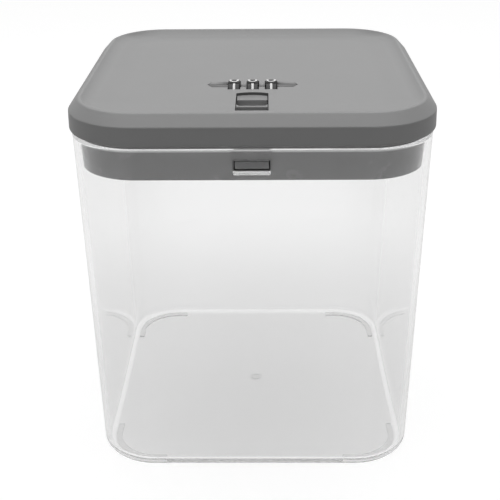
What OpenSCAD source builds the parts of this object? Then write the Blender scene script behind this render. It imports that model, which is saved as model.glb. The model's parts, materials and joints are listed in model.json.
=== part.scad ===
// Lockable storage box: a clear tub, a grey lid that plugs into it, and a three-dial lock in the lid.
// Millimetres, +Z up, front towards -Y. The origin lies under the middle of the tub.
// Drawn closed and unlocked: the dials stand on their code and the bolt is drawn back.

/* [Tub] */
// Outer width and depth of the tub at its rim
tub_width = 177.5; // [150:0.5:240]
// Outer corner radius of the tub at its rim
tub_corner = 33.75; // [28:0.25:40]
// Height of the rim above the table
tub_height = 186.2; // [150:0.2:240]
// Lean of the tub walls, in degrees
tub_draft = 0.7; // [0.4:0.1:1]
// Thickness of the tub walls and floor
tub_wall = 2.8; // [2.4:0.1:3.2]
// Height of the moulded feet
foot_height = 1; // [0.6:0.1:1.6]
// Width of a moulded foot
foot_width = 3.2; // [2:0.1:5]
// Rounding of the outer rim edge, on whose axis the lid tilts
rim_round = 0.8; // [0.6:0.1:1.3]
// Rounding of the outer bottom edge
base_round = 4; // [2:0.5:6]

/* [Latch openings] */
// Width of an opening at its ledge
latch_width = 18.1; // [14:0.1:22]
// Depth of the shallow recess around an opening
recess_depth = 1; // [0.6:0.1:1.4]
// Distance from the rim down to the ledge
ledge_drop = 12.3; // [11.5:0.1:13.5]
// Height of the hole above its ledge
hole_height = 7; // [6.5:0.1:7.5]
// Slope of the ledge, in degrees
ledge_slope = 16; // [8:1:18]

/* [Lid] */
// How far the lid stands out past the rim
lid_overhang = 1.25; // [1:0.05:2]
// Height of the upright skirt
skirt_height = 9.5; // [9:0.1:12]
// Height of the bevel above the skirt
bevel_height = 5.5; // [5:0.1:6]
// Inset of the bevel from the skirt
bevel_inset = 5.2; // [4.5:0.1:5.5]
// Width of the raised border's crest round the lid top
crest_width = 1.3; // [1.2:0.1:2]
// Depth of the dished lid top below that crest
top_dish = 2.6; // [2.2:0.1:3]
// Thickness of the lid walls
lid_wall = 2.2; // [2:0.1:2.4]
// Thickness of the lid top
lid_top = 2.4; // [2.2:0.1:2.6]
// Gap between the skirt and the rim
skirt_gap = 1.9; // [1.5:0.1:2.2]
// Gap between the plug and the tub wall
plug_gap = 1; // [0.9:0.1:1.4]
// Depth of the plug below the rim
plug_depth = 16.4; // [16:0.1:20]
// Gap between the plug's seat ribs and the rim
seat_gap = 0.08; // [0.05:0.01:0.1]

/* [Dials] */
// Radius of a dial over its ridges
dial_radius = 11; // [10.6:0.1:11.4]
// Width of a dial
dial_width = 5.6; // [5:0.1:5.8]
// Distance from dial to dial
dial_pitch = 9.4; // [9.4:0.1:10]
// How far a dial stands above the lid
dial_rise = 2.5; // [2.2:0.1:2.8]
// Distance of the dial axis behind the front of the tub
dial_setback = 57.75; // [56:0.25:60]
// Gap around a dial in its window
window_gap = 0.4; // [0.3:0.1:0.5]
// Radius of the spindle
spindle_radius = 1.5; // [1.2:0.1:1.6]
// Running clearance on the spindle
spindle_fit = 0.05; // [0.03:0.01:0.1]

/* [Slider and bolt] */
// Width of the finger slider
slider_width = 14.9; // [14:0.1:16]
// Gap around the slider in its opening
slider_gap = 0.5; // [0.4:0.1:0.7]
// Travel of the slider and bolt from unlocked to locked
slider_travel = 4; // [3.8:0.1:4.2]
// How far the rear pad of the slider lies below the lid
slider_sink = 1.3; // [0.6:0.1:1.5]
// Length of the finger slider
slider_length = 23; // [21:0.1:24]
// Room left in front of the slider when it is locked
slider_spare = 1.9; // [1:0.1:2.5]
// Depth of the slider's dish below the lid
dish_depth = 4.6; // [3.5:0.1:4.8]
// Height of the bolt
bolt_height = 4; // [3.5:0.1:4.5]
// Clearance around the bolt in its guides
bolt_fit = 0.5; // [0.35:0.05:0.55]

/* [Hidden] */
$fn = 64;
arc_steps = 6;
corner_at = tub_width / 2 - tub_corner;
tub_half = tub_width / 2;
floor_top = foot_height + tub_wall;
lean = tan(tub_draft);
base_corner = tub_corner - (tub_height - foot_height) * lean;
foot_line = tub_corner - 9.95;
ledge_at = tub_height - ledge_drop;
hole_top = ledge_at + hole_height;
side_lean = tan(2.4);

skirt_at = tub_height + skirt_gap;
lid_corner = tub_corner + lid_overhang;
bevel_at = skirt_at + skirt_height;
lid_crest = bevel_at + bevel_height;
lid_height = lid_crest - top_dish;
lid_under = lid_height - lid_top;
skirt_draft = 0.3;
bevel_corner = lid_corner - skirt_draft - bevel_inset;
dish_angle = 42;
dish_round = 3.3 * top_dish;
dish_foot = bevel_corner - crest_width - top_dish / tan(dish_angle);

plug_corner = tub_corner - tub_wall - plug_gap;
plug_base = tub_height - plug_depth;
plug_floor = plug_base + lid_wall;
plug_lean = 0.35;
seat_at = tub_height + seat_gap;
plug_top = seat_at + 2;
rib_reach = corner_at + lid_corner - lid_wall - skirt_draft - 0.2;
rib_length = 8;
rib_inset = 10;
rib_along = corner_at - rib_inset;
plug_front = -(corner_at + plug_corner);
channel_face = plug_front + 0.95;
pad_back = channel_face + lid_wall;
pad_half = 11.5;
join_at = tub_height - 2.6;
lid_screw_seat = join_at - 4;
corner_screw_in = 16.95;
side_screw_in = 10.95;
corner_screw = corner_at + plug_corner - corner_screw_in;
side_screw = corner_at + plug_corner - side_screw_in;
lid_screw_spots = [[corner_screw, corner_screw], [-corner_screw, corner_screw], [corner_screw, -corner_screw],
  [-corner_screw, -corner_screw], [side_screw, 0], [-side_screw, 0]];

axis_y = dial_setback - tub_half;
axis_z = lid_height + dial_rise - dial_radius;
dial_spots = [-dial_pitch, 0, dial_pitch];
digit_angle = 36;
hub_radius = spindle_radius + 0.9;
ring_outer = lid_under - axis_z - 0.35;
ring_inner = ring_outer - 1.2;
web_thick = 0.6;
collar_length = 1.2;
ring_gap = 0.2;
lug_gap = 0.3;
finger_width = 1;
lug_at = hub_radius + 0.35;
lug_length = ring_inner - 0.4 - lug_at;
collar_end = dial_width / 2 + ring_gap + web_thick + collar_length;
finger_at = collar_end + lug_gap;
hub_left = -dial_width / 2 - lug_gap;
hub_length = dial_pitch - 0.1;
cheek_thick = 2;
cheek_left = -dial_pitch + hub_left - 0.5;
cheek_right = dial_pitch + hub_left + hub_length + 0.4;

frame_thick = 1.6;
frame_room = 3;
frame_floor = axis_z - dial_radius - frame_room;
frame_depth = 20;
ear_end = 31;
frame_screw_x = 26;
frame_screw_y = 7;
clip_thick = 0.6;
clip_gap = 0.3;
clip_rise = 1.5;
ear_gap = 0.4;
ear_at = axis_z - spindle_radius - clip_rise - ear_gap - frame_thick;

dial_to_slider = 13;
slider_back = axis_y - dial_to_slider;
slider_front = slider_back - slider_length;
opening_back = slider_back + slider_gap;
opening_front = slider_front - slider_travel - slider_spare - slider_gap;
arch_radius = 18.6;
arch_at = opening_back - arch_radius;
slider_pad = lid_height - slider_sink;
slider_bar = lid_height - 0.1;
base_width = 22;
base_at = lid_under - 3.4;
base_top = lid_under - 0.4;
base_back = slider_back + 1.6;
base_reach = 3.6;
base_front = slider_front - base_reach;
comb_thick = 1.2;
comb_top = axis_z + comb_thick / 2;
comb_at = comb_top - comb_thick;
bolt_top = comb_at;
bolt_plate = 2;
bolt_width = 16;
bolt_base = ledge_at + 1.3;
bolt_tip = channel_face - 0.3;
bolt_length = 12.3;
bolt_back = bolt_tip + bolt_length;
slider_screw_in = 6;
slider_screw_y = slider_back - slider_screw_in;
slider_screw_x = 5;
comb_bar_at = slider_back - 0.5;
comb_bar = 4;
stem_half = 8;
stem_length = 17;

rail_thick = 1.4;
rail_top = base_at - 0.3;
rail_at = rail_top - rail_thick;
rail_grip = 1.5;
rail_edge = 3;
rail_screw_x = base_width / 2 + 4.5;
rail_screw_in = 11.5;
rail_screw_pitch = 11;
rail_screw_y = [slider_back - rail_screw_in, slider_back - rail_screw_in - rail_screw_pitch];
notch_y = rail_screw_y[0] - rail_screw_pitch / 2;

guide_thick = 1.2;
guide_back = pad_back + 4.4;
guide_front = pad_back + 0.4;
guide_seat = plug_floor + 3;
guide_screw_x = 12.9;

fine_shank = 1;
fine_head = 2;
frame_shank = 1.2;
frame_head = 2.3;
lid_shank = 1.5;
lid_head = 2.8;
thread_fit = 0.05;
lid_screw_length = 12;
frame_screw_length = 6.5;
slider_screw_length = 7.8;
rail_screw_length = 4.2;
detent_screw_length = 2.4;
guide_screw_length = 4.6;

function unit(v) = v / norm(v);

// Points of the arc that rounds the corner b between a and c.
function fillet(a, b, c, radius) =
  let (
    u = unit(a - b),
    v = unit(c - b),
    half = acos(u * v) / 2,
    middle = b + unit(u + v) * radius / sin(half),
    first = b + u * radius / tan(half) - middle,
    last = b + v * radius / tan(half) - middle,
    start = atan2(first[1], first[0]),
    swing = atan2(last[1], last[0]) - start,
    turn = swing > 180 ? swing - 360 : swing < -180 ? swing + 360 : swing
  )
  [for (i = [0:arc_steps])
    let (angle = start + turn * i / arc_steps)
    middle + radius * [cos(angle), sin(angle)]];

function flat(p) = [p[0], p[1]];

// A closed outline whose points are [across, up, rounding].
function rounded(path) =
  let (n = len(path))
  [for (i = [0:n - 1]) each (path[i][2] > 0
    ? fillet(flat(path[(i + n - 1) % n]), flat(path[i]), flat(path[(i + 1) % n]), path[i][2])
    : [flat(path[i])])];

// A wall section carried round the rounded square that tub and lid share.
module carried_round() {
  for (turn = [0:90:270])
    rotate([0, 0, turn]) {
      translate([corner_at, corner_at, 0])
        rotate_extrude(angle = 90)
          children();
      translate([corner_at, corner_at, 0])
        rotate([90, 0, 0])
          linear_extrude(2 * corner_at)
            children();
    }
}

// The tub's wall and floor in section, with a round bead along the outer rim edge.
module tub_section() {
  polygon(rounded([
    [0, foot_height, 0],
    [base_corner, foot_height, base_round],
    [tub_corner - rim_round * lean, tub_height - rim_round, 0],
    [tub_corner - rim_round, tub_height, 0],
    [tub_corner - tub_wall, tub_height, 0.5],
    [base_corner - tub_wall, floor_top, base_round - 1],
    [0, floor_top, 0]
  ]));
  translate([tub_corner - rim_round, tub_height - rim_round])
    circle(r = rim_round);
}

module block(low, high) {
  translate(low)
    cube(high - low);
}

// An outline in the X-Z plane, running in +Y from one depth to another.
module along_y(from, to, outline) {
  translate([0, to, 0])
    rotate([90, 0, 0])
      linear_extrude(to - from)
        polygon(outline);
}

// An outline in the Y-Z plane, running in +X from one place to another.
module along_x(from, to, outline) {
  translate([from, 0, 0])
    rotate([90, 0, 90])
      linear_extrude(to - from)
        polygon(outline);
}

module rod_x(from, to, y, z, radius) {
  translate([from, y, z])
    rotate([0, 90, 0])
      cylinder(r = radius, h = to - from);
}

// A pan-head screw that points up, with its shoulder at the origin and a cross slot in its head.
module screw(shank, head, tall, length) {
  difference() {
    union() {
      translate([0, 0, -tall])
        cylinder(r = head, h = tall);
      cylinder(r = shank, h = length);
    }
    for (turn = [0, 90])
      rotate([0, 0, turn])
        translate([-head * 0.6, -head * 0.13, -tall - 1])
          cube([head * 1.2, head * 0.26, tall * 0.55 + 1]);
  }
}

// The recess, the hole and the sloping ledge of one latch opening, at the front.
module latch_cut() {
  foot = latch_width / 2;
  brow = foot + (ledge_drop + 2) * side_lean;
  reach = 10;
  intersection() {
    union() {
      along_y(-tub_half - 5, -tub_half + recess_depth,
        rounded([[-foot, ledge_at, 1.5], [foot, ledge_at, 1.5],
          [brow, tub_height + 2, 0], [-brow, tub_height + 2, 0]]));
      along_y(-tub_half - 5, -tub_half + tub_wall + 3,
        rounded([[-foot, ledge_at, 1.5], [foot, ledge_at, 1.5],
          [foot, hole_top, 0.8], [-foot, hole_top, 0.8]]));
    }
    along_x(-foot - 5, foot + 5, [
      [-tub_half, ledge_at],
      [-tub_half + reach, ledge_at + reach * tan(ledge_slope)],
      [-tub_half + reach, tub_height + 5],
      [-tub_half - reach, tub_height + 5],
      [-tub_half - reach, ledge_at - reach * tan(ledge_slope)]
    ]);
  }
}

module container() {
  color([0.86, 0.9, 0.92, 0.3])
    difference() {
      union() {
        carried_round()
          tub_section();
        block([-corner_at, -corner_at, foot_height], [corner_at, corner_at, floor_top]);
        for (turn = [0:90:270])
          rotate([0, 0, turn])
            foot();
        translate([0, 0, foot_height - 0.3])
          cylinder(r = 2.5, h = 1);
      }
      latch_cut();
      rotate([0, 0, 180])
        latch_cut();
    }
}

// One foot follows a corner of the floor and runs a little way along both sides.
module foot() {
  inner = foot_line - foot_width / 2;
  translate([corner_at, corner_at, 0]) {
    rotate_extrude(angle = 90)
      translate([inner, 0])
        square([foot_width, foot_height + 1]);
    translate([inner, -6, 0])
      cube([foot_width, 6, foot_height + 1]);
    translate([-6, inner, 0])
      cube([6, foot_width, foot_height + 1]);
  }
}

// The finger slider's outline or its opening, seen from above, grown by a gap.
module slider_outline(front, grow) {
  intersection() {
    translate([-slider_width / 2 - grow, front])
      square([slider_width + 2 * grow, slider_length * 2]);
    translate([0, arch_at])
      circle(r = arch_radius - slider_gap + grow);
  }
}

// The groove with tapering ends that marks where the digits are read.
module index_groove() {
  deep = 1.7;
  tip = 23.2;
  full = 20.5;
  translate([0, axis_y, lid_height])
    intersection() {
      along_x(-tip - 1, tip + 1, rounded([
        [-3.75, 2, 0],
        [-3.75, 0.2, 0],
        [-2.2, -deep, 0.5],
        [2.2, -deep, 0.5],
        [3.1, -0.45, 2],
        [6.5, 0.1, 0],
        [6.5, 2, 0]
      ]));
      translate([0, 0, -deep - 1])
        linear_extrude(deep + 4)
          polygon(rounded([
            [-tip, 0.8, 0],
            [-full, -4, 0],
            [full, -4, 0],
            [tip, 0.8, 0],
            [full, 7, 3],
            [-full, 7, 3]
          ]));
    }
}

module lid_cover() {
  color([0.42, 0.43, 0.45])
    difference() {
      union() {
        carried_round()
          polygon(rounded([
            [0, lid_height, 0],
            [0, lid_under, 0],
            [dish_foot - 1, lid_under, 0],
            [bevel_corner - 0.9, lid_crest - lid_top, 0],
            [lid_corner - skirt_draft - lid_wall, bevel_at - 0.9, 0],
            [lid_corner - lid_wall, skirt_at, 0],
            [lid_corner, skirt_at, 1.2],
            [lid_corner - skirt_draft, bevel_at, 1.2],
            [bevel_corner, lid_crest, 2],
            [bevel_corner - crest_width, lid_crest, 0.9],
            [dish_foot, lid_height, dish_round]
          ]));
        block([-corner_at, -corner_at, lid_under], [corner_at, corner_at, lid_height]);
        for (spot = lid_screw_spots)
          translate([spot[0], spot[1], join_at])
            cylinder(r = 3.8, h = lid_height - join_at - 1);
        for (x = [-frame_screw_x, frame_screw_x], y = [-frame_screw_y, frame_screw_y])
          translate([x, axis_y + y, ear_at + frame_thick])
            cylinder(r = 3.4, h = lid_height - ear_at - frame_thick - 1);
        for (x = [-rail_screw_x, rail_screw_x], y = rail_screw_y)
          translate([x, y, rail_top])
            cylinder(r = 2.6, h = lid_height - rail_top - 1);
      }
      for (x = dial_spots)
        rod_x(x - dial_width / 2 - window_gap, x + dial_width / 2 + window_gap, axis_y, axis_z,
          dial_radius + window_gap);
      index_groove();
      translate([0, 0, lid_under - 1])
        linear_extrude(lid_top + 2)
          slider_outline(opening_front, slider_gap);
      for (spot = lid_screw_spots)
        translate([spot[0], spot[1], join_at - 1])
          cylinder(r = lid_shank + thread_fit, h = lid_screw_length - 1.5);
      for (x = [-frame_screw_x, frame_screw_x], y = [-frame_screw_y, frame_screw_y])
        translate([x, axis_y + y, ear_at])
          cylinder(r = frame_shank + thread_fit, h = frame_thick + 5.5);
      for (x = [-rail_screw_x, rail_screw_x], y = rail_screw_y)
        translate([x, y, rail_at])
          cylinder(r = fine_shank + thread_fit, h = rail_thick + 3.2);
    }
}

module lid_plug() {
  color([0.3, 0.31, 0.33])
    difference() {
      union() {
        carried_round()
          polygon(rounded([
            [0, plug_base, 0],
            [plug_corner - plug_lean, plug_base, 1.5],
            [plug_corner, seat_at, 0],
            [plug_corner, plug_top, 0],
            [plug_corner - lid_wall, plug_top, 0],
            [plug_corner - plug_lean - lid_wall, plug_floor, 1],
            [0, plug_floor, 0]
          ]));
        block([-corner_at, -corner_at, plug_base], [corner_at, corner_at, plug_floor]);
        block([-pad_half, channel_face - 0.2, plug_base + 1.6], [pad_half, pad_back, plug_top]);
        for (spot = lid_screw_spots)
          translate([spot[0], spot[1], plug_base + 1])
            cylinder(r = 4.6, h = join_at - plug_base - 1);
        for (side = [-1, 1])
          translate([side * guide_screw_x, (guide_front + guide_back) / 2, plug_base + 1])
            cylinder(r = 2.8, h = guide_seat - plug_base - 1);
        seat_ribs();
        tongue();
      }
      block([-latch_width / 2 - 0.25, plug_front - 1, plug_base - 1],
        [latch_width / 2 + 0.25, channel_face, plug_top + 1]);
      block([-bolt_width / 2 - bolt_fit, plug_front - 1, bolt_base - bolt_fit],
        [bolt_width / 2 + bolt_fit, pad_back + 1, bolt_base + bolt_height + bolt_fit]);
      for (spot = lid_screw_spots)
        translate([spot[0], spot[1], plug_base - 1]) {
          cylinder(r = lid_head + 0.5, h = lid_screw_seat - plug_base + 1);
          cylinder(r = lid_shank + 0.2, h = plug_depth + 2);
        }
      for (side = [-1, 1])
        translate([side * guide_screw_x, (guide_front + guide_back) / 2, plug_base + 1.2])
          cylinder(r = fine_shank + thread_fit, h = plug_depth);
    }
}

// Ribs at the sides and the back that rest on the rim. The front has none, so its rim shows.
module seat_ribs() {
  for (turn = [-90, 0, 90], x = [-rib_along, rib_along])
    rotate([0, 0, turn])
      block([x - rib_length / 2, corner_at + plug_corner - 1, seat_at],
        [x + rib_length / 2, rib_reach, plug_top]);
}

// The fixed tongue at the back, which hooks under the rear opening of the tub.
module tongue() {
  top = bolt_base + bolt_height;
  block([-bolt_width / 2, corner_at + plug_corner - lid_wall, top - 3],
    [bolt_width / 2, tub_half - recess_depth - 0.3, top]);
}

module lid_screws() {
  color([0.72, 0.73, 0.75])
    for (spot = lid_screw_spots)
      translate([spot[0], spot[1], lid_screw_seat])
        screw(lid_shank, lid_head, 2, lid_screw_length);
}

// The bracket under the lid that carries the spindle between two cheeks.
module lock_frame() {
  front = axis_y - frame_depth / 2;
  back = axis_y + frame_depth / 2;
  color([0.62, 0.63, 0.65])
    difference() {
      union() {
        block([cheek_left - cheek_thick, front, frame_floor],
          [cheek_right + cheek_thick, back, frame_floor + frame_thick]);
        block([cheek_left - cheek_thick, front, frame_floor], [cheek_left, back, axis_z + 3]);
        block([cheek_right, front, frame_floor], [cheek_right + cheek_thick, back, axis_z + 3]);
        block([-ear_end, front, ear_at], [cheek_left - cheek_thick / 2, back, ear_at + frame_thick]);
        block([cheek_right + cheek_thick / 2, front, ear_at], [ear_end, back, ear_at + frame_thick]);
      }
      rod_x(-ear_end, ear_end, axis_y, axis_z, spindle_radius + spindle_fit);
      for (x = [-frame_screw_x, frame_screw_x], y = [-frame_screw_y, frame_screw_y])
        translate([x, axis_y + y, ear_at - 1])
          cylinder(r = frame_shank + 0.2, h = frame_thick + 2);
      for (x = detent_screw_x)
        translate([x, detent_screw_y, frame_floor - 1])
          cylinder(r = fine_shank + thread_fit, h = frame_thick + 2);
    }
}

module frame_screws() {
  color([0.72, 0.73, 0.75])
    for (x = [-frame_screw_x, frame_screw_x], y = [-frame_screw_y, frame_screw_y])
      translate([x, axis_y + y, ear_at])
        screw(frame_shank, frame_head, 1.6, frame_screw_length);
}

clip_left = cheek_left - cheek_thick - clip_gap - clip_thick;
clip_right = cheek_right + cheek_thick + clip_gap;

module dial_spindle() {
  color([0.78, 0.79, 0.8])
    difference() {
      rod_x(clip_left - 1.5, clip_right + clip_thick + 1.5, axis_y, axis_z, spindle_radius);
      for (x = [clip_left, clip_right])
        difference() {
          rod_x(x - 0.05, x + clip_thick + 0.05, axis_y, axis_z, spindle_radius + 1);
          rod_x(x - 1, x + clip_thick + 1, axis_y, axis_z, spindle_radius - 0.4);
        }
    }
}

// Two open spring clips that hold the spindle in its cheeks.
module spindle_clips() {
  color([0.35, 0.35, 0.37])
    for (x = [clip_left, clip_right])
      difference() {
        rod_x(x, x + clip_thick, axis_y, axis_z, spindle_radius + clip_rise);
        rod_x(x - 1, x + clip_thick + 1, axis_y, axis_z, spindle_radius - 0.35);
        block([x - 1, axis_y - 0.9, axis_z - 5], [x + clip_thick + 1, axis_y + 0.9, axis_z]);
      }
}

detent_reach = dial_radius + 0.7;
detent_y = axis_y - detent_reach * sin(digit_angle / 2);
detent_z = axis_z - detent_reach * cos(digit_angle / 2);
detent_base = frame_floor + frame_thick;
detent_screw_x = [-dial_pitch / 2, dial_pitch / 2];
detent_screw_y = axis_y + 0.4 * frame_depth;
detent_half = 13;
detent_leaf = 0.5;
detent_finger = 1.8;

// A leaf spring with one finger a dial. Each finger's bead stands at the notch between two digits.
module detent_spring() {
  color([0.8, 0.81, 0.82])
    difference() {
      union() {
        block([-detent_half, axis_y + frame_depth / 4, detent_base],
          [detent_half, axis_y + frame_depth / 2, detent_base + detent_leaf]);
        for (x = dial_spots) {
          along_x(x - detent_finger, x + detent_finger, [
            [axis_y + 0.3 * frame_depth, detent_base],
            [axis_y + 0.3 * frame_depth, detent_base + detent_leaf],
            [detent_y - 1, detent_z - 0.2],
            [detent_y - 1, detent_z - 0.2 - detent_leaf]
          ]);
          rod_x(x - detent_finger, x + detent_finger, detent_y, detent_z, detent_leaf);
        }
      }
      for (x = detent_screw_x)
        translate([x, detent_screw_y, detent_base - 1])
          cylinder(r = fine_shank + 0.15, h = 3);
    }
}

module detent_screws() {
  color([0.72, 0.73, 0.75])
    for (x = detent_screw_x)
      translate([x, detent_screw_y, detent_base + detent_leaf])
        rotate([180, 0, 0])
          screw(fine_shank, fine_head - 0.2, 1.1, detent_screw_length);
}

// A ten-digit wheel with a notch between every two digits and a keyed bore.
module dial(x) {
  edge = 0.4;
  color([0.13, 0.13, 0.14])
    translate([x, axis_y, axis_z])
      rotate([0, 90, 0])
        difference() {
          rotate_extrude()
            polygon([
              [hub_radius + 0.03, -dial_width / 2],
              [dial_radius - edge, -dial_width / 2],
              [dial_radius, -dial_width / 2 + edge],
              [dial_radius, dial_width / 2 - edge],
              [dial_radius - edge, dial_width / 2],
              [hub_radius + 0.03, dial_width / 2]
            ]);
          for (i = [0:9])
            rotate([0, 0, (i + 0.5) * digit_angle])
              translate([dial_radius + 0.5, 0, -dial_width])
                cylinder(r = 1, h = 2 * dial_width);
          translate([0, -0.8, -dial_width])
            cube([hub_radius + 1, 1.6, 2 * dial_width]);
        }
}

module dial_left() { dial(dial_spots[0]); }

module dial_middle() { dial(dial_spots[1]); }

module dial_right() { dial(dial_spots[2]); }

// The sleeve keyed into a dial. Its collar lets the comb's lug through only at the gate.
module code_ring(x) {
  web_at = dial_width / 2 + ring_gap;
  color([0.86, 0.72, 0.4])
    translate([x, axis_y, axis_z])
      rotate([0, 90, 0])
        difference() {
          union() {
            translate([0, 0, hub_left])
              cylinder(r = hub_radius, h = hub_length);
            translate([0, 0, web_at])
              cylinder(r = ring_outer, h = web_thick + collar_length);
            translate([0, -0.75, -dial_width / 2 + 0.3])
              cube([hub_radius + 0.9, 1.5, dial_width - 0.6]);
          }
          translate([0, 0, hub_left - 1])
            cylinder(r = spindle_radius + spindle_fit, h = hub_length + 2);
          difference() {
            translate([0, 0, web_at + web_thick])
              cylinder(r = ring_inner, h = collar_length + 1);
            translate([0, 0, web_at])
              cylinder(r = hub_radius, h = collar_length + 3);
          }
          translate([-1.6, -ring_outer - 1, web_at + web_thick])
            cube([3.2, ring_outer + 1 - hub_radius - 0.5, collar_length + 1]);
        }
}

module code_ring_left() { code_ring(dial_spots[0]); }

module code_ring_middle() { code_ring(dial_spots[1]); }

module code_ring_right() { code_ring(dial_spots[2]); }

// The finger slider: a flat rear pad, a dish for the finger and a lip to push on, on a wider base.
module slider_button() {
  dish_back = slider_back - 8.7;
  dish_front = slider_front + 1;
  dish_floor = lid_height - dish_depth;
  dish_half = slider_width / 2 + 0.2;
  color([0.3, 0.31, 0.33])
    difference() {
      union() {
        intersection() {
          translate([0, 0, base_at])
            linear_extrude(lid_height - base_at + 1)
              slider_outline(slider_front, 0);
          along_x(-slider_width, slider_width, rounded([
            [slider_back + 1, base_at, 0],
            [slider_back + 1, slider_pad, 0],
            [dish_back, slider_pad, 0],
            [dish_front, slider_bar, 0],
            [slider_front, slider_bar, 0.6],
            [slider_front, base_at, 0]
          ]));
        }
        block([-base_width / 2, base_front, base_at], [base_width / 2, base_back, base_top]);
        block([-8.6, base_front - 1.9, base_at], [8.6, base_front, base_at + 1.1]);
        block([-stem_half, slider_back - stem_length, comb_top], [stem_half, slider_back - 3, base_at]);
      }
      intersection() {
        along_x(-slider_width, slider_width, rounded([
          [dish_back, lid_height + 2, 0],
          [dish_back - 0.4, dish_floor, 1.2],
          [dish_front + 2.2, dish_floor, 1.2],
          [dish_front, slider_bar, 0],
          [dish_front, lid_height + 2, 0]
        ]));
        translate([0, 0, dish_floor - 1])
          linear_extrude(dish_depth + 3)
            polygon([
              [-dish_half, dish_back + 1],
              [-dish_half, dish_front + 4.5],
              [-dish_half + 1.3, dish_front],
              [dish_half - 1.3, dish_front],
              [dish_half, dish_front + 4.5],
              [dish_half, dish_back + 1]
            ]);
      }
      for (y = [notch_y, notch_y + slider_travel])
        translate([-base_width / 2 - 0.4, y, base_at - 1])
          cylinder(r = 1.1, h = 5);
      for (x = [-slider_screw_x, slider_screw_x])
        translate([x, slider_screw_y, comb_top - 1])
          cylinder(r = frame_shank + thread_fit, h = slider_screw_length - bolt_plate - comb_thick + 1.4);
    }
}

// The stamped comb. Its lugs lie inside the collars when unlocked and outside them when locked.
module gate_comb() {
  tip = axis_y - lug_at;
  color([0.75, 0.76, 0.78])
    difference() {
      union() {
        block([-stem_half, slider_back - stem_length, comb_at], [stem_half, comb_bar_at, comb_top]);
        block([-stem_half, comb_bar_at - comb_bar, comb_at],
          [dial_spots[2] + finger_at + finger_width, comb_bar_at, comb_top]);
        for (x = dial_spots) {
          block([x + finger_at, comb_bar_at - 1, comb_at], [x + finger_at + finger_width, tip, comb_top]);
          block([x + finger_at - collar_length, tip - lug_length, comb_at],
            [x + finger_at + 0.5, tip, comb_top]);
        }
      }
      for (x = [-slider_screw_x, slider_screw_x])
        translate([x, slider_screw_y, comb_at - 1])
          cylinder(r = frame_shank + 0.15, h = comb_thick + 2);
    }
}

// The bolt hangs from the slider and reaches forward through the plug into the front opening.
module latch_bolt() {
  color([0.55, 0.56, 0.58])
    difference() {
      union() {
        block([-bolt_width / 2, bolt_back, bolt_top - bolt_plate],
          [bolt_width / 2, slider_back - 3, bolt_top]);
        block([-bolt_width / 2, bolt_back, bolt_base], [bolt_width / 2, bolt_back + 2.5, bolt_top]);
        along_x(-bolt_width / 2, bolt_width / 2, [
          [bolt_back + 1, bolt_base],
          [bolt_back + 1, bolt_base + bolt_height],
          [bolt_tip + 0.5, bolt_base + bolt_height],
          [bolt_tip, bolt_base + bolt_height - 0.5],
          [bolt_tip, bolt_base + 0.5],
          [bolt_tip + 0.5, bolt_base]
        ]);
      }
      for (x = [-slider_screw_x, slider_screw_x])
        translate([x, slider_screw_y, bolt_top - bolt_plate - 1])
          cylinder(r = frame_shank + 0.15, h = bolt_plate + 2);
    }
}

module slider_screws() {
  color([0.72, 0.73, 0.75])
    for (x = [-slider_screw_x, slider_screw_x])
      translate([x, slider_screw_y, bolt_top - bolt_plate])
        screw(frame_shank, frame_head, 1.6, slider_screw_length);
}

// Two rails under the edges of the slider's base, which keep it up against the lid.
module slider_rails() {
  color([0.62, 0.63, 0.65])
    for (side = [0, 1])
      mirror([side, 0, 0])
        difference() {
          block([base_width / 2 - rail_grip, rail_screw_y[1] - rail_edge, rail_at],
            [rail_screw_x + rail_edge, rail_screw_y[0] + rail_edge, rail_top]);
          for (y = rail_screw_y)
            translate([rail_screw_x, y, rail_at - 1])
              cylinder(r = fine_shank + 0.15, h = rail_thick + 2);
        }
}

module rail_screws() {
  color([0.72, 0.73, 0.75])
    for (x = [-rail_screw_x, rail_screw_x], y = rail_screw_y)
      translate([x, y, rail_at])
        screw(fine_shank, fine_head, 1.3, rail_screw_length);
}

// A leaf caught between the left rail's bosses. Its bead meets a notch of the slider at both stops.
module slider_detent() {
  face = -base_width / 2 - 0.2;
  color([0.8, 0.81, 0.82])
    union() {
      block([face - 1.4, rail_screw_y[1] - 1.5, rail_top + 0.2],
        [face - 0.9, rail_screw_y[0] + 1.5, base_top]);
      translate([face - 1, notch_y, rail_top + 0.2])
        cylinder(r = 1, h = base_top - rail_top - 0.2);
    }
}

// A strap over the bolt, which takes the load when the lid is pulled.
module bolt_guide() {
  inner = bolt_width / 2 + bolt_fit;
  roof = bolt_base + bolt_height + bolt_fit;
  color([0.62, 0.63, 0.65])
    difference() {
      union() {
        block([-inner - guide_thick, guide_front, roof],
          [inner + guide_thick, guide_back, roof + guide_thick]);
        for (side = [0, 1])
          mirror([side, 0, 0]) {
            block([inner, guide_front, guide_seat], [inner + guide_thick, guide_back, roof + 0.5]);
            block([inner, guide_front, guide_seat],
              [guide_screw_x + 3, guide_back, guide_seat + guide_thick]);
          }
      }
      for (side = [-1, 1])
        translate([side * guide_screw_x, (guide_front + guide_back) / 2, guide_seat - 1])
          cylinder(r = fine_shank + 0.15, h = guide_thick + 2);
    }
}

module guide_screws() {
  color([0.72, 0.73, 0.75])
    for (side = [-1, 1])
      translate([side * guide_screw_x, (guide_front + guide_back) / 2, guide_seat + guide_thick])
        rotate([180, 0, 0])
          screw(fine_shank, fine_head, 1.3, guide_screw_length);
}

container();
lid_cover();
lid_plug();
lid_screws();
lock_frame();
frame_screws();
dial_spindle();
spindle_clips();
detent_spring();
detent_screws();
dial_left();
dial_middle();
dial_right();
code_ring_left();
code_ring_middle();
code_ring_right();
slider_button();
gate_comb();
latch_bolt();
slider_screws();
slider_rails();
rail_screws();
slider_detent();
bolt_guide();
guide_screws();
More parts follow.
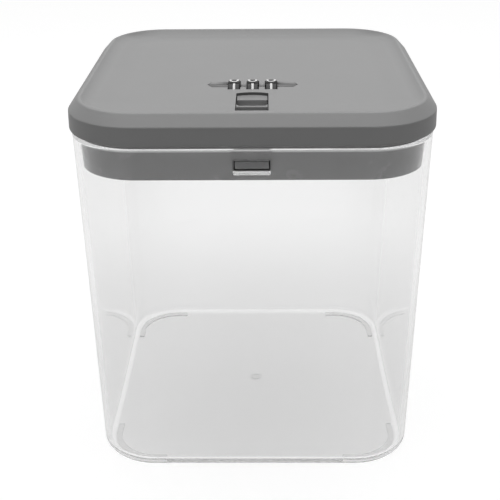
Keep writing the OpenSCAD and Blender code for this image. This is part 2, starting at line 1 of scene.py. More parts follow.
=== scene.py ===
# %% [markdown]
# # A clear box with a combination lid
# The box is a clear moulded tub, a grey lid that plugs into it, and a small three-dial lock in the lid.
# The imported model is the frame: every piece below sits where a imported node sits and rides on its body.

# %% Load the frame
import json
import math
import bpy
import bmesh
from mathutils import Matrix, Vector

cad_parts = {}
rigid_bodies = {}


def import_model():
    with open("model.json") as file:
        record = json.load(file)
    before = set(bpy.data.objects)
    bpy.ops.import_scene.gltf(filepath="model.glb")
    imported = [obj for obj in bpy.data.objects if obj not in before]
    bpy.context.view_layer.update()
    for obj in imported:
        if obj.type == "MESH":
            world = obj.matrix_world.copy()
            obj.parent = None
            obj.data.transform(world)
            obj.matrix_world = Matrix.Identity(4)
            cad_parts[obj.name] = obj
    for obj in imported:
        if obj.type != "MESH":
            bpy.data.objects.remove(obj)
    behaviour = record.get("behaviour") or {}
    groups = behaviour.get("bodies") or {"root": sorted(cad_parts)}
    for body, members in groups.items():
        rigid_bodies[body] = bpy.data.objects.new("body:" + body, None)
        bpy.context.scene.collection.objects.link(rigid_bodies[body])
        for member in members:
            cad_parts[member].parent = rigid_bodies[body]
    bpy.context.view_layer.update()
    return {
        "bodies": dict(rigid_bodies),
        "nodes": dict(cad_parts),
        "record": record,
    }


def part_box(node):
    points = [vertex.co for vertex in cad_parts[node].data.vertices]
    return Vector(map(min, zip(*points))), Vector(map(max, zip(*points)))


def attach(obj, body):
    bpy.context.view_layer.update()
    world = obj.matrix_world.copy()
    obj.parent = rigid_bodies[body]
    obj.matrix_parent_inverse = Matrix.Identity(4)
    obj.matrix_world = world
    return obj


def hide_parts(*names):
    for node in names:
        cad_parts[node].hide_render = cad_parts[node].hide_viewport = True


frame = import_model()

nodes = frame["nodes"]
body_named = {empty: name for name, empty in frame["bodies"].items()}

# %% [markdown]
# ## Camera
# The photo looks down at the front of the box from a little above. Its lens was found from the outline of
# lid and tub, so the camera gets that distance and focal length. A small sideways shift keeps the box where
# it is framed. Light passes many clear faces on its way, so it gets many bounces.

# %% Camera at the photo's place
lens_mm, sensor_mm = 66.6, 36
side_shift = -0.0095
nearest = 0.01
camera_back, camera_up = 0.4919, 0.3336
walk_round, pitch, roll = math.radians(0.7), math.radians(63.78), math.radians(-0.46)
most_bounces = 128

scene = bpy.context.scene
camera = bpy.data.objects.new("camera", bpy.data.cameras.new("camera"))
camera.data.lens = lens_mm
camera.data.sensor_width = sensor_mm
camera.data.shift_x = side_shift
camera.data.clip_start = nearest
around = Matrix.Rotation(walk_round, 3, "Z")
camera.location = around @ Vector((0, -camera_back, camera_up))
aim = around @ Matrix.Rotation(pitch, 3, "X") @ Matrix.Rotation(roll, 3, "Z")
camera.rotation_euler = aim.to_euler()
scene.collection.objects.link(camera)
scene.camera = camera
scene.view_settings.view_transform = "Standard"
scene.cycles.max_bounces = most_bounces
scene.cycles.transmission_bounces = most_bounces
scene.cycles.glossy_bounces = most_bounces
print("camera at", [round(x, 3) for x in camera.location])

# %% [markdown]
# ## Studio
# The box stands on a white sheet under one wide soft lamp. White comes from the sheet's own glow towards the
# camera, so the lamps can stay at a level where a colour renders about as it is written. Clear plastic shows
# only what stands round it, so the glow has a level of its own for rays that pass through plastic, lower
# close to the box where a box shades its sheet, and one for rays that gloss mirrors. A thin ring under the
# walls is brighter: it stands for the light that runs down inside a clear wall to its edge.

# %% Helpers for node trees
reach = 0.055  # half the side of the square that tub and lid are drawn round


def add(tree, kind, **settings):
    node = tree.nodes.new(kind)
    for name, setting in settings.items():
        setattr(node, name, setting)
    return node


def value(tree, operation, *inputs):
    """One sum of a node tree. Each input is a number or a socket."""
    node = add(tree, "ShaderNodeMath", operation=operation)
    for i, given in enumerate(inputs):
        if isinstance(given, (int, float)):
            node.inputs[i].default_value = given
        else:
            tree.links.new(given, node.inputs[i])
    return node.outputs[0]


def length(tree, *parts):
    """How long a line is that runs so far along each of two axes."""
    return value(tree, "SQRT", value(tree, "ADD", *(value(tree, "POWER", part, 2) for part in parts)))


def ramped(tree, socket, start, end, low, high):
    """Runs smoothly from low to high while a value goes from start to end."""
    span = add(tree, "ShaderNodeMapRange", interpolation_type="SMOOTHSTEP")
    for label, number in (("From Min", start), ("From Max", end), ("To Min", low), ("To Max", high)):
        span.inputs[label].default_value = number
    tree.links.new(socket, span.inputs["Value"])
    return span.outputs["Result"]


def object_spot(tree):
    """Where a point lies on its object, with one socket for each axis."""
    spot = add(tree, "ShaderNodeSeparateXYZ")
    tree.links.new(add(tree, "ShaderNodeTexCoord").outputs["Object"], spot.inputs[0])
    return spot.outputs


def by_ray(tree, straight, mirrored, through):
    """The level that a ray sees: straight from the camera, in a mirroring surface, or through clear plastic."""
    path = add(tree, "ShaderNodeLightPath").outputs
    passed = path["Is Transmission Ray"]
    mirror = value(tree, "MAXIMUM", value(tree, "SUBTRACT", path["Is Glossy Ray"], passed), 0)
    level = value(tree, "MULTIPLY", path["Is Camera Ray"], straight)
    level = value(tree, "ADD", level, value(tree, "MULTIPLY", mirror, mirrored))
    return value(tree, "ADD", level, value(tree, "MULTIPLY", passed, through))


def square_off_group():
    """How far a point lies outside a square round the middle."""
    tree = bpy.data.node_groups.new("square_off", "ShaderNodeTree")
    socket = tree.interface.new_socket
    socket("Half Side", in_out="INPUT", socket_type="NodeSocketFloat").default_value = reach
    socket("Off", in_out="OUTPUT", socket_type="NodeSocketFloat")
    half = add(tree, "NodeGroupInput").outputs["Half Side"]
    spot = object_spot(tree)
    past = [value(tree, "SUBTRACT", value(tree, "ABSOLUTE", spot[axis]), half) for axis in "XY"]
    far = length(tree, *(value(tree, "MAXIMUM", part, 0) for part in past))
    tree.links.new(far, add(tree, "NodeGroupOutput").inputs["Off"])
    return tree


square_off = square_off_group()
print("group:", square_off.name)

# %% World
world_straight, world_mirrored, world_through, world_light = 1, 0.66, 0.9, 0.16

world = bpy.data.worlds.new("studio")
scene.world = world
world.use_nodes = True
tree = world.node_tree
backdrop = tree.nodes["Background"]
backdrop.inputs["Color"].default_value = (1, 1, 1, 1)
shown = by_ray(tree, world_straight, world_mirrored, world_through)
tree.links.new(value(tree, "MAXIMUM", shown, world_light), backdrop.inputs["Strength"])
print("world:", world.name)

# %% Sheet
sheet_half, sheet_drop = 6, 0.0002
paper_tone = 0.42
mirror_level = 0.52
camera_shade_left = 0.019  # the dark patch that gloss mirrors in front lies this far left of the middle
# Each range runs from start to end in metres, and from its first level to its second.
to_horizon = (0.3, 3, 0.76, 0.95)
front_part = (-0.3, -0.15, 1, 0)
dark_to_light = (0.08, 0.2, 0.2, 0.45)
ring_starts, ring_ends = (0.0255, 0.028, 0, 0.14), (0.032, 0.0345, 1, 0)
side_shade = (0.05, 0.17, 0, -0.1)
box_shade = (0.03, 0.22, 0.59, 0.74)

sheet_paper = bpy.data.materials.new("white_sheet")
sheet_paper.use_nodes = True
tree = sheet_paper.node_tree
tree.nodes.clear()
spot = object_spot(tree)
off = add(tree, "ShaderNodeGroup", node_tree=square_off).outputs["Off"]
straight = ramped(tree, off, *to_horizon)
# For rays that gloss mirrors, the sheet in front is darker in a patch near the middle: a painted shadow of the
# camera.
aside = value(tree, "ABSOLUTE", value(tree, "ADD", spot["X"], camera_shade_left))
change = value(tree, "SUBTRACT", ramped(tree, aside, *dark_to_light), mirror_level)
in_front = ramped(tree, spot["Y"], *front_part)
mirrored = value(tree, "ADD", mirror_level, value(tree, "MULTIPLY", in_front, change))
under_wall = value(tree, "MULTIPLY", ramped(tree, off, *ring_starts), ramped(tree, off, *ring_ends))
to_side = ramped(tree, value(tree, "ABSOLUTE", spot["X"]), *side_shade)
through = ramped(tree, off, *box_shade)
for part in (to_side, under_wall):
    through = value(tree, "ADD", through, part)
matt = add(tree, "ShaderNodeBsdfDiffuse")
matt.inputs["Color"].default_value = (paper_tone, paper_tone, paper_tone, 1)
glow = add(tree, "ShaderNodeEmission")
tree.links.new(by_ray(tree, straight, mirrored, through), glow.inputs["Strength"])
both = add(tree, "ShaderNodeAddShader")
tree.links.new(matt.outputs[0], both.inputs[0])
tree.links.new(glow.outputs[0], both.inputs[1])
tree.links.new(both.outputs[0], add(tree, "ShaderNodeOutputMaterial").inputs[0])

mesh = bpy.data.meshes.new("floor")
corners = [(x * sheet_half, y * sheet_half, -sheet_drop) for x, y in ((-1, -1), (1, -1), (1, 1), (-1, 1))]
mesh.from_pydata(corners, [], [(0, 1, 2, 3)])
floor = bpy.data.objects.new("floor", mesh)
floor.data.materials.append(sheet_paper)
scene.collection.objects.link(floor)
print("sheet:", floor.name)


# %% Lamps
def softbox(name, place, target, side, watts):
    lamp = bpy.data.objects.new(name, bpy.data.lights.new(name, "AREA"))
    lamp.data.shape = "RECTANGLE"
    lamp.data.size, lamp.data.size_y = side, side
    lamp.data.energy = watts
    lamp.location = place
    lamp.rotation_euler = (Vector(target) - Vector(place)).to_track_quat("-Z", "Y").to_euler()
    scene.collection.objects.link(lamp)


softbox("overhead_softbox", (0, 0.1, 1.3), target=(0, 0, 0.2), side=1.6, watts=13.8)
softbox("front_fill", (-0.5, -1.4, 0.9), target=(0, 0, 0.1), side=0.8, watts=0.55)

# %% [markdown]
# ## Shared surface effects
# Four effects return on many pieces: the fine grain of a spark-eroded mould, faint handling marks on gloss,
# the drawn lines of sheet metal, and painted shade in a narrow gap. Each is a node group that puts out a
# mask or a height, and every material sets its own amount. The gap is a box in object coordinates, so it
# stays in its place.


# %% Node groups
def effect_group(name, inputs, outputs):
    group = bpy.data.node_groups.new(name, "ShaderNodeTree")
    for label, usual in inputs:
        socket = group.interface.new_socket(label, in_out="INPUT", socket_type="NodeSocketFloat")
        socket.default_value = usual
    for label in outputs:
        group.interface.new_socket(label, in_out="OUTPUT", socket_type="NodeSocketFloat")
    return group, add(group, "NodeGroupInput").outputs, add(group, "NodeGroupOutput").inputs


def noise_in(group, vector, scale, detail, rough=0.5):
    noise = add(group, "ShaderNodeTexNoise")
    noise.inputs["Detail"].default_value = detail
    noise.inputs["Roughness"].default_value = rough
    group.links.new(vector, noise.inputs["Vector"])
    if hasattr(scale, "is_linked"):
        group.links.new(scale, noise.inputs["Scale"])
    else:
        noise.inputs["Scale"].default_value = scale
    return noise.outputs["Fac"]


cloud_scale = 26
marks_from, marks_to = 0.42, 0.72
along_lines = 0.03

grain, given, made = effect_group("moulded_grain", [("Grain Scale", 2500)], ["Height", "Tone"])
place = add(grain, "ShaderNodeTexCoord").outputs["Object"]
grain.links.new(noise_in(grain, place, given["Grain Scale"], detail=4, rough=0.6), made["Height"])
grain.links.new(noise_in(grain, place, cloud_scale, detail=5, rough=0.6), made["Tone"])

handling, given, made = effect_group("handling_marks", [("Mark Scale", 60)], ["Marks"])
place = add(handling, "ShaderNodeTexCoord").outputs["Object"]
ramp = add(handling, "ShaderNodeMapRange")
ramp.inputs["From Min"].default_value = marks_from
ramp.inputs["From Max"].default_value = marks_to
handling.links.new(noise_in(handling, place, given["Mark Scale"], detail=6, rough=0.65), ramp.inputs["Value"])
handling.links.new(ramp.outputs["Result"], made["Marks"])

drawn, given, made = effect_group("drawn_lines", [("Line Scale", 900)], ["Lines"])
place = add(drawn, "ShaderNodeTexCoord").outputs["Object"]
stretch = add(drawn, "ShaderNodeMapping")
stretch.inputs["Scale"].default_value = (along_lines, 1, 1)
drawn.links.new(place, stretch.inputs["Vector"])
drawn.links.new(noise_in(drawn, stretch.outputs[0], given["Line Scale"], detail=3), made["Lines"])

# Painted shade: a mask that is 1 inside a box round a narrow gap, where a material darkens its colour.
painted_gap_shade, given, made = effect_group(
    "painted_gap_shade", [("From Side", -1), ("To Side", 0), ("Front", 0), ("Back", 0), ("Top", 0)], ["Inside"])
spot = object_spot(painted_gap_shade)
from_middle = value(painted_gap_shade, "ABSOLUTE", spot["X"])
inside = value(painted_gap_shade, "GREATER_THAN", from_middle, given["From Side"])
for operation, socket, label in (
        ("LESS_THAN", from_middle, "To Side"), ("GREATER_THAN", spot["Y"], "Front"),
        ("LESS_THAN", spot["Y"], "Back"), ("LESS_THAN", spot["Z"], "Top")):
    inside = value(painted_gap_shade, "MULTIPLY", inside, value(painted_gap_shade, operation, socket, given[label]))
painted_gap_shade.links.new(inside, made["Inside"])
print("effects:", grain.name, handling.name, drawn.name, painted_gap_shade.name)

# %% [markdown]
# ## Finishes
# The lid is a satin grey plastic with a fine moulded grain. The plug, the dials and the bolt come from
# polished moulds, so they are glossier and show handling marks instead. The thin gap round the slider gets a
# darker tone: painted shade, where little lamp light reaches. Metal pieces inside the lock are drawn sheet,
# turned brass and plated screws. A broad bump round the border of the lid lets its edge catch the light.


# %% Helpers for materials
def grey(level):
    return (level, level, level)


def times(colour, factor):
    return tuple(c * factor for c in colour)


def plain_material(name):
    material = bpy.data.materials.new(name)
    material.use_nodes = True
    tree = material.node_tree
    return material, tree, tree.nodes["Principled BSDF"]


def effect(tree, group, **settings):
    node = add(tree, "ShaderNodeGroup", node_tree=group)
    for label, setting in settings.items():
        node.inputs[label.replace("_", " ")].default_value = setting
    return node.outputs


def mixed(tree, factor, second):
    """A colour that turns into a second one with a mask. Gives the socket for the first one, and the result."""
    mix = add(tree, "ShaderNodeMix", data_type="RGBA")
    mix.inputs[7].default_value = (*second, 1)
    tree.links.new(factor, mix.inputs[0])
    return mix.inputs[6], mix.outputs[2]


def between(tree, factor, low, high, target):
    """Runs a colour or a value from low to high with a mask."""
    if isinstance(low, tuple):
        first, result = mixed(tree, factor, high)
        first.default_value = (*low, 1)
        tree.links.new(result, target)
    else:
        span = add(tree, "ShaderNodeMapRange")
        span.inputs["To Min"].default_value = low
        span.inputs["To Max"].default_value = high
        tree.links.new(factor, span.inputs["Value"])
        tree.links.new(span.outputs["Result"], target)


def raised(tree, height, target, strength, distance):
    """A bump whose normal goes to the target. Gives the socket for a normal that it builds on."""
    bump = add(tree, "ShaderNodeBump")
    bump.inputs["Strength"].default_value = strength
    bump.inputs["Distance"].default_value = distance
    tree.links.new(height, bump.inputs["Height"])
    tree.links.new(bump.outputs[0], target)
    return bump.inputs["Normal"]


# %% Kinds of finish
cloud_tones, gap_shade_tone = (0.965, 1.035), 0.3
grain_rough, grain_height = 0.06, 0.00004
all_round, far_side = (0.008, 0.026, 0, 0.45), (0.066, 0.084, 0, 1.1)
worn_gain, worn_lift, worn_rough = 1.05, 0.002, 0.1
line_tone, line_rough, line_bump, line_height = 0.9, (-0.08, 0.1), 0.25, 0.00002


def grained_plastic(name, colour, rough, grain_scale, bump, gap, cove=0):
    material, tree, shader = plain_material(name)
    fine = effect(tree, grain, Grain_Scale=grain_scale)
    # Inside the gap box the colour turns darker: painted shade.
    in_gap_shade = effect(tree, painted_gap_shade, **gap)["Inside"]
    free_of_gap_shade, result = mixed(tree, in_gap_shade, times(colour, gap_shade_tone))
    between(tree, fine["Tone"], times(colour, cloud_tones[0]), times(colour, cloud_tones[1]), free_of_gap_shade)
    tree.links.new(result, shader.inputs["Base Color"])
    between(tree, fine["Height"], rough - grain_rough, rough + grain_rough, shader.inputs["Roughness"])
    base_normal = raised(tree, fine["Height"], shader.inputs["Normal"], bump, grain_height)
    if cove:
        border = effect(tree, square_off, Half_Side=reach)["Off"]
        rise = value(tree, "ADD", ramped(tree, border, *all_round),
                     ramped(tree, object_spot(tree)["Y"], *far_side))
        raised(tree, rise, base_normal, 1, cove)
    return material


def glossy_plastic(name, colour, rough, mark_scale, gloss=0.5):
    material, tree, shader = plain_material(name)
    shader.inputs["Specular IOR Level"].default_value = gloss
    marks = effect(tree, handling, Mark_Scale=mark_scale)["Marks"]
    worn = tuple(c * worn_gain + worn_lift for c in colour)
    between(tree, marks, colour, worn, shader.inputs["Base Color"])
    between(tree, marks, rough, rough + worn_rough, shader.inputs["Roughness"])
    return material


def worked_metal(name, colour, rough, line_scale):
    material, tree, shader = plain_material(name)
    shader.inputs["Metallic"].default_value = 1
    lines = effect(tree, drawn, Line_Scale=line_scale)["Lines"]
    between(tree, lines, times(colour, line_tone), colour, shader.inputs["Base Color"])
    between(tree, lines, rough + line_rough[0], rough + line_rough[1], shader.inputs["Roughness"])
    raised(tree, lines, shader.inputs["Normal"], line_bump, line_height)
    return material


# %% Finish of every slot
# Boxes in object coordinates where the lid and the slider get painted shade in the gap round the slider.
lid_gap = {"To_Side": 0.0083, "Front": -0.0728, "Back": -0.0432, "Top": 0.20035}
slider_gap = {"From_Side": 0.0073, "To_Side": 0.0083, "Front": -0.0745, "Back": -0.0432, "Top": 0.199}
finishes = {
    "lid_plastic": grained_plastic("satin_grey_lid", (0.355, 0.355, 0.356), rough=0.5, grain_scale=2600,
                                   bump=0.35, gap=lid_gap, cove=0.0048),
    "slider_plastic": grained_plastic("satin_grey_slider", (0.312, 0.312, 0.313), rough=0.42, grain_scale=3000,
                                      bump=0.3, gap=slider_gap),
    "plug_plastic": glossy_plastic("glossy_grey_plug", (0.195, 0.195, 0.196), rough=0.22, mark_scale=40),
    "bolt_plastic": glossy_plastic("glossy_grey_bolt", (0.405, 0.405, 0.406), rough=0.25, mark_scale=90),
    "dial_plastic": glossy_plastic("glossy_dark_dial", (0.045, 0.045, 0.046), rough=0.34, mark_scale=160,
                                   gloss=0.28),
    "ring_brass": worked_metal("turned_brass", (0.78, 0.6, 0.3), rough=0.3, line_scale=1500),
    "sheet_steel": worked_metal("drawn_sheet_steel", (0.62, 0.63, 0.65), rough=0.38, line_scale=900),
    "screw_steel": worked_metal("plated_screw_steel", (0.68, 0.69, 0.71), rough=0.26, line_scale=2200),
    "spring_steel": worked_metal("spring_steel", (0.56, 0.57, 0.6), rough=0.3, line_scale=1800),
}
print("finishes:", sorted(finishes))

# %% [markdown]
# The notches between the digits get painted shade too: what lies a little below the outside of a dial gets a
# darker tone. All three dials lie on one axis, so one distance from that axis serves them all.

# %% Painted shade in the notches of the dials
notch_shade_tone = 0.006
fully_below, just_below = 0.00025, 0.00005

dial_low, dial_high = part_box("dial_middle")
dial_middle = (dial_low + dial_high) / 2
dial_radius = (dial_high.z - dial_low.z) / 2
tree = finishes["dial_plastic"].node_tree
colour_in = tree.nodes["Principled BSDF"].inputs["Base Color"]
spot = object_spot(tree)
from_axis = length(tree, value(tree, "SUBTRACT", spot["Y"], dial_middle.y),
                   value(tree, "SUBTRACT", spot["Z"], dial_middle.z))
# The mask of the painted shade: 1 deep in a notch, 0 on the outside of the dial.
below = ramped(tree, from_axis, dial_radius - fully_below, dial_radius - just_below, 1, 0)
unshaded, result = mixed(tree, below, grey(notch_shade_tone))
tree.links.new(colour_in.links[0].from_socket, unshaded)
tree.links.new(result, colour_in)
print("dial radius in mm:", round(dial_radius * 1000, 2))

# %% [markdown]
# The clear plastic is polished on its walls and lightly frosted under its floor, with a faint darker tone round
# the gate mark. The underside of the floor is tinted darker, partly for its frost and partly as painted shade
# of the box on the sheet below. Its rim has a faint painted glow, which stands for light that runs inside a
# clear wall and comes out at the edge. A little light is lost inside the plastic. The digits are printed in a
# slightly worn white ink.

# %% Clear plastic and ink
wall_tint, floor_tint_and_shade, foot_tint, painted_rim_glow = 0.936, 0.826, 0.66, 0.2
plastic_ior, frost_rough, marks_rough = 1.5, 0.2, 0.035
lost_tone, lost_density = 0.5, 0.4
# Each range runs from start to end in metres, and from its first level to its second.
above_floor, past_floor = (0.0012, 0.0022, 0, 1), (0.0262, 0.0272, 0, 1)
above_feet, round_gate = (0.0005, 0.00095, 0, 1), (0.0036, 0.005, 0.45, 1)
up_to_rim = (0.185, 0.1858, 0, 1)
fresh_ink, worn_ink, ink_rough = (0.94, 0.94, 0.935), (0.88, 0.88, 0.875), 0.45

clear, tree, shader = plain_material("clear_moulded_plastic")
shader.inputs["Transmission Weight"].default_value = 1
shader.inputs["IOR"].default_value = plastic_ior
spot = object_spot(tree)
border = effect(tree, square_off, Half_Side=reach)["Off"]
polished = value(tree, "MAXIMUM", ramped(tree, spot["Z"], *above_floor), ramped(tree, border, *past_floor))
unshaded = value(tree, "MULTIPLY", ramped(tree, spot["Z"], *above_feet),
                 ramped(tree, length(tree, spot["X"], spot["Y"]), *round_gate))
# The floor's underside tint is partly its frost and partly painted shade of the box on the sheet below.
below, result = mixed(tree, polished, grey(wall_tint))
between(tree, unshaded, grey(foot_tint), grey(floor_tint_and_shade), below)
tree.links.new(result, shader.inputs["Base Color"])
frosted = add(tree, "ShaderNodeMix")
frosted.inputs[2].default_value = frost_rough
tree.links.new(polished, frosted.inputs[0])
between(tree, effect(tree, handling, Mark_Scale=25)["Marks"], 0, marks_rough, frosted.inputs[3])
tree.links.new(frosted.outputs[0], shader.inputs["Roughness"])
# A painted glow along the rim, put into the emission.
rim_glow_mask = ramped(tree, spot["Z"], *up_to_rim)
between(tree, rim_glow_mask, grey(0), grey(painted_rim_glow), shader.inputs["Emission Color"])
shader.inputs["Emission Strength"].default_value = 1
lost = add(tree, "ShaderNodeVolumeAbsorption")
lost.inputs["Color"].default_value = (*grey(lost_tone), 1)
lost.inputs["Density"].default_value = lost_density
tree.links.new(lost.outputs[0], tree.nodes["Material Output"].inputs["Volume"])
finishes["clear_plastic"] = clear

ink, tree, shader = plain_material("white_digit_ink")
marks = effect(tree, handling, Mark_Scale=900)["Marks"]
between(tree, marks, fresh_ink, worn_ink, shader.inputs["Base Color"])
shader.inputs["Roughness"].default_value = ink_rough
print("clear plastic and ink:", clear.name, ink.name)

# %% [markdown]
# ## Clear tub
# The tub is one shot of clear plastic, so its walls, floor and roundings have one section that runs round a
# square with round corners. A modelled section carried along that path by Geometry Nodes gives even quads,
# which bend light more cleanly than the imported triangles. The feet and the two latch openings are then added
# and cut as solids.


# %% Helpers for shapes
def rounded_path(points, steps=8):
    """An open line whose points are (across, up, rounding)."""
    line = []
    for i, (x, y, radius) in enumerate(points):
        if not radius:
            line.append(Vector((x, y)))
            continue
        here = Vector((x, y))
        u = (Vector(points[i - 1][:2]) - here).normalized()
        v = (Vector(points[i + 1][:2]) - here).normalized()
        half = u.angle(v) / 2
        middle = here + (u + v).normalized() * radius / math.sin(half)
        first = here + u * radius / math.tan(half) - middle
        turn = first.angle_signed(here + v * radius / math.tan(half) - middle)
        for k in range(steps + 1):
            line.append(middle + Matrix.Rotation(-turn * k / steps, 2) @ first)
    return line


def with_inputs(piece, tree, **settings):
    """Puts a node tree on a piece and sets its named inputs by their identifiers."""
    modifier = piece.modifiers.new(tree.name, "NODES")
    modifier.node_group = tree
    known = {s.name: s.identifier for s in tree.interface.items_tree if s.in_out == "INPUT"}
    for label, setting in settings.items():
        modifier[known[label.replace("_", " ")]] = setting
    return piece


def as_plain_mesh(piece):
    """Keeps what the modifiers make and removes them."""
    graph = bpy.context.evaluated_depsgraph_get()
    mesh = bpy.data.meshes.new_from_object(piece.evaluated_get(graph), preserve_all_data_layers=True,
                                           depsgraph=graph)
    piece.modifiers.clear()
    piece.data = mesh
    return piece


def piece_from(name, points, edges, faces):
    mesh = bpy.data.meshes.new(name)
    mesh.from_pydata([tuple(p) for p in points], edges, faces)
    piece = bpy.data.objects.new(name, mesh)
    scene.collection.objects.link(piece)
    return piece


def sweep_tree():
    tree = bpy.data.node_groups.new("wall_round_a_square", "GeometryNodeTree")
    socket = tree.interface.new_socket
    socket("Section", in_out="INPUT", socket_type="NodeSocketGeometry")
    socket("Corner Reach", in_out="INPUT", socket_type="NodeSocketFloat")
    socket("Corner Radius", in_out="INPUT", socket_type="NodeSocketFloat")
    socket("Corner Steps", in_out="INPUT", socket_type="NodeSocketInt")
    socket("Finish", in_out="INPUT", socket_type="NodeSocketMaterial")
    socket("Wall", in_out="OUTPUT", socket_type="NodeSocketGeometry")
    given, made = add(tree, "NodeGroupInput").outputs, add(tree, "NodeGroupOutput").inputs
    half = add(tree, "ShaderNodeMath", operation="ADD")
    full = add(tree, "ShaderNodeMath", operation="MULTIPLY")
    full.inputs[1].default_value = 2
    square = add(tree, "GeometryNodeCurvePrimitiveQuadrilateral")
    corners = add(tree, "GeometryNodeFilletCurve", mode="POLY")
    upright = add(tree, "GeometryNodeSetCurveNormal", mode="Z_UP")
    line = add(tree, "GeometryNodeMeshToCurve")
    carry = add(tree, "GeometryNodeCurveToMesh")
    real = add(tree, "GeometryNodeRealizeInstances")
    paint = add(tree, "GeometryNodeSetMaterial")
    for start, end in [
        (given["Corner Reach"], half.inputs[0]), (given["Corner Radius"], half.inputs[1]),
        (half.outputs[0], full.inputs[0]), (full.outputs[0], square.inputs["Width"]),
        (full.outputs[0], square.inputs["Height"]), (square.outputs[0], corners.inputs["Curve"]),
        (given["Corner Steps"], corners.inputs["Count"]), (given["Corner Radius"], corners.inputs["Radius"]),
        (corners.outputs[0], upright.inputs["Curve"]), (given["Section"], line.inputs["Mesh"]),
        (upright.outputs[0], carry.inputs["Curve"]), (line.outputs[0], carry.inputs["Profile Curve"]),
        (carry.outputs[0], real.inputs[0]), (real.outputs[0], paint.inputs["Geometry"]),
        (given["Finish"], paint.inputs["Material"]), (paint.outputs[0], made[0]),
    ]:
        tree.links.new(start, end)
    return tree


# %% Wall and floor of the tub
path_radius, corner_steps = 0.03, 24
rim, base = 0.1862, 0.001
wall, lean = 0.0028, math.tan(math.radians(0.7))
outer_top = 0.03375
outer_base = outer_top - (rim - base) * lean
section_start = 0.0005
base_round, floor_round, rim_round, inner_rim_round = 0.004, 0.003, 0.0008, 0.0005
same_point = 1e-6

section = rounded_path([
    (section_start, base, 0), (outer_base, base, base_round), (outer_top, rim, rim_round),
    (outer_top - wall, rim, inner_rim_round), (outer_base - wall, base + wall, floor_round),
    (section_start, base + wall, 0)])
tub = piece_from("container_finished", [(p.x - path_radius, -p.y, 0) for p in section],
                 [(i, i + 1) for i in range(len(section) - 1)], [])
with_inputs(tub, sweep_tree(), Corner_Reach=reach, Corner_Radius=path_radius, Corner_Steps=corner_steps,
            Finish=clear)
as_plain_mesh(tub)
work = bmesh.new()
work.from_mesh(tub.data)
bmesh.ops.remove_doubles(work, verts=work.verts, dist=same_point)
bmesh.ops.holes_fill(work, edges=[e for e in work.edges if e.is_boundary])
bmesh.ops.recalc_face_normals(work, faces=work.faces)
work.to_mesh(tub.data)
work.free()
print("tub wall:", len(tub.data.polygons), "faces")

# %% [markdown]
# Four low feet follow the corners under the floor, and a small round gate mark sits in the middle. Each latch
# opening is a shallow recess up to the rim, whose sides open with a small rounded lip. A hole in its lower
# part has a ledge that slopes down to the outside. These are closed prisms, joined to the tub or cut from it
# with exact booleans, so the clear wall stays one skin.


# %% Feet and gate mark
def prism(name, rings):
    """A closed solid through rings of equally many points."""
    count = len(rings[0])
    points = [p for ring in rings for p in ring]
    faces = [list(range(count)), list(range(len(points) - count, len(points)))]
    for k in range(len(rings) - 1):
        for i in range(count):
            j = (i + 1) % count
            faces.append([k * count + i, k * count + j, (k + 1) * count + j, (k + 1) * count + i])
    piece = piece_from(name, points, [], faces)
    work = bmesh.new()
    work.from_mesh(piece.data)
    bmesh.ops.recalc_face_normals(work, faces=work.faces)
    work.to_mesh(piece.data)
    work.free()
    return piece


def combine(piece, tool, how):
    join = piece.modifiers.new("join", "BOOLEAN")
    join.operation = how
    join.solver = "EXACT"
    join.object = tool
    as_plain_mesh(piece)
    bpy.data.objects.remove(tool)


def foot_outline(inner, outer, leg, steps=16):
    turns = [math.radians(90) * k / steps for k in range(steps + 1)]
    line = [(outer, -leg)] + [(outer * math.cos(a), outer * math.sin(a)) for a in turns] + [(-leg, outer)]
    line += [(-leg, inner)] + [(inner * math.cos(a), inner * math.sin(a)) for a in reversed(turns)]
    line += [(inner, -leg)]
    return [(x + reach, y + reach) for x, y in line]


foot_inner, foot_outer, foot_leg, foot_sunk = 0.0222, 0.0254, 0.006, 0.001
gate_radius, gate_drop, gate_sunk, gate_steps = 0.0025, 0.0003, 0.0007, 32

outline = foot_outline(foot_inner, foot_outer, foot_leg)
for turn in range(4):
    spin = Matrix.Rotation(math.radians(90) * turn, 3, "Z")
    rings = [[spin @ Vector((x, y, z)) for x, y in outline] for z in (0, base + foot_sunk)]
    combine(tub, prism("foot", rings), "UNION")
turns = [math.tau * k / gate_steps for k in range(gate_steps)]
disc = [(gate_radius * math.cos(a), gate_radius * math.sin(a)) for a in turns]
rings = [[(x, y, z) for x, y in disc] for z in (base - gate_drop, base + gate_sunk)]
combine(tub, prism("gate_mark", rings), "UNION")
print("tub with feet:", len(tub.data.polygons), "faces")

# %% Latch openings
ledge, hole_top, half_width = 0.1739, 0.1809, 0.00905
ledge_round, hole_round = 0.0015, 0.0008
slope, side_lean = math.tan(math.radians(16)), math.tan(math.radians(2.4))
past_rim = 0.002
brow = half_width + (rim + past_rim - ledge) * side_lean
outside, wall_face, recess_back, hole_back = -0.0938, -0.08875, -0.08775, -0.08295
lip = 0.00045
lip_curve = [(wall_face, 1), (-0.08868, 0.62), (-0.08855, 0.29), (-0.08842, 0.08), (-0.0883, 0)]


def closed_outline(points):
    line = rounded_path([(*points[-1][:2], 0), *points, (*points[0][:2], 0)])
    return line[1:-1]


def latch_ring(outline, y, flare):
    """An outline at one depth, wider by the flare. Behind the wall's face it follows the sloping ledge."""
    lowest = ledge + max(0, y - wall_face) * slope
    return [(x + math.copysign(flare, x), y, max(z, lowest)) for x, z in outline]


